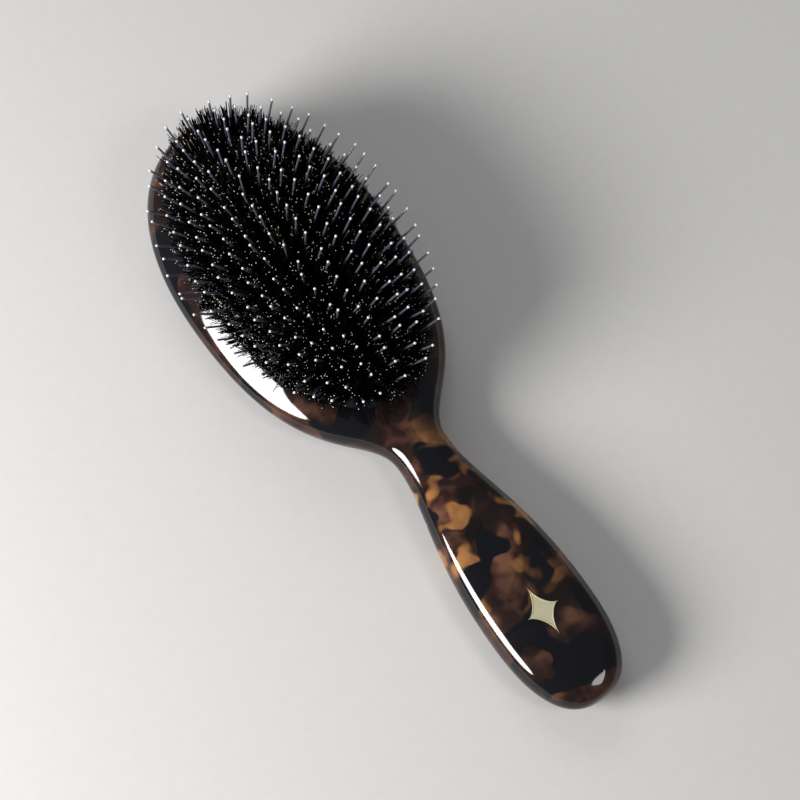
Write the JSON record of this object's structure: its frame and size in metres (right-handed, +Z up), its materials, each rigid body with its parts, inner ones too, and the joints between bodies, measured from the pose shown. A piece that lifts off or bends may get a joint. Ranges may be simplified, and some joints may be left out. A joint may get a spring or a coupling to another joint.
{
  "type": "cushion hair brush",
  "caption": "Oval cushion hair brush with a polished tortoiseshell handle and head, a rubber air cushion, and dark bristle tufts with ball-tipped nylon pins.",
  "frame": {"origin": "centre of the bounding box's footprint, on the surface that the brush's flat back lies on", "axes": "+Z up, the way the bristles point; +Y along the brush from the handle to the head; +X across it"},
  "size_m": [0.075, 0.225, 0.0404],
  "materials": {
    "tortoiseshell_acetate": "polished, tortoiseshell pattern in black, brown and amber",
    "cushion_rubber": "satin",
    "dark_bristle": "fine stiff fibres with a silky gloss",
    "clear_nylon": "translucent, gloss",
    "pale_brass": "brushed, pale gold"
  },
  "bodies": {
    "brush": {"brush_body": "tortoiseshell_acetate", "handle_inlay": "pale_brass", "cushion_membrane": "cushion_rubber"},
    "ring_1": {"tuft_row_left_1": "dark_bristle", "tuft_row_right_1": "dark_bristle", "pin_row_left_1": "clear_nylon", "pin_row_right_1": "clear_nylon"},
    "ring_2": {"tuft_row_left_2": "dark_bristle", "tuft_row_right_2": "dark_bristle", "pin_row_left_2": "clear_nylon", "pin_row_right_2": "clear_nylon"},
    "ring_3": {"tuft_row_left_3": "dark_bristle", "tuft_row_right_3": "dark_bristle", "pin_row_left_3": "clear_nylon", "pin_row_right_3": "clear_nylon"},
    "ring_4": {"tuft_row_left_4": "dark_bristle", "tuft_row_right_4": "dark_bristle", "pin_row_left_4": "clear_nylon", "pin_row_right_4": "clear_nylon"},
    "ring_5": {"tuft_row_left_5": "dark_bristle", "tuft_row_right_5": "dark_bristle", "pin_row_left_5": "clear_nylon", "pin_row_right_5": "clear_nylon"},
    "ring_6": {"tuft_row_left_6": "dark_bristle", "tuft_row_right_6": "dark_bristle", "pin_row_left_6": "clear_nylon", "pin_row_right_6": "clear_nylon"}
  },
  "joints": [
    {"name": "cushion_press", "type": "slide", "parent": "brush", "child": "ring_1", "axis": [0, 0, -1], "range_m": [0, 0.004], "stiffness_N_per_m": 2500, "deforming": ["cushion_membrane"]},
    {"name": "ring_2_press", "type": "slide", "parent": "brush", "child": "ring_2", "axis": [0, 0, -1], "range_m": [0, 0.00381]},
    {"name": "ring_3_press", "type": "slide", "parent": "brush", "child": "ring_3", "axis": [0, 0, -1], "range_m": [0, 0.00342]},
    {"name": "ring_4_press", "type": "slide", "parent": "brush", "child": "ring_4", "axis": [0, 0, -1], "range_m": [0, 0.00283]},
    {"name": "ring_5_press", "type": "slide", "parent": "brush", "child": "ring_5", "axis": [0, 0, -1], "range_m": [0, 0.00205]},
    {"name": "ring_6_press", "type": "slide", "parent": "brush", "child": "ring_6", "axis": [0, 0, -1], "range_m": [0, 0.0011]}
  ],
  "couplings": [
    {"joint": "ring_2_press", "follows": "cushion_press", "ratio": 0.9487},
    {"joint": "ring_3_press", "follows": "cushion_press", "ratio": 0.8493},
    {"joint": "ring_4_press", "follows": "cushion_press", "ratio": 0.7019},
    {"joint": "ring_5_press", "follows": "cushion_press", "ratio": 0.5065},
    {"joint": "ring_6_press", "follows": "cushion_press", "ratio": 0.2691}
  ]
}
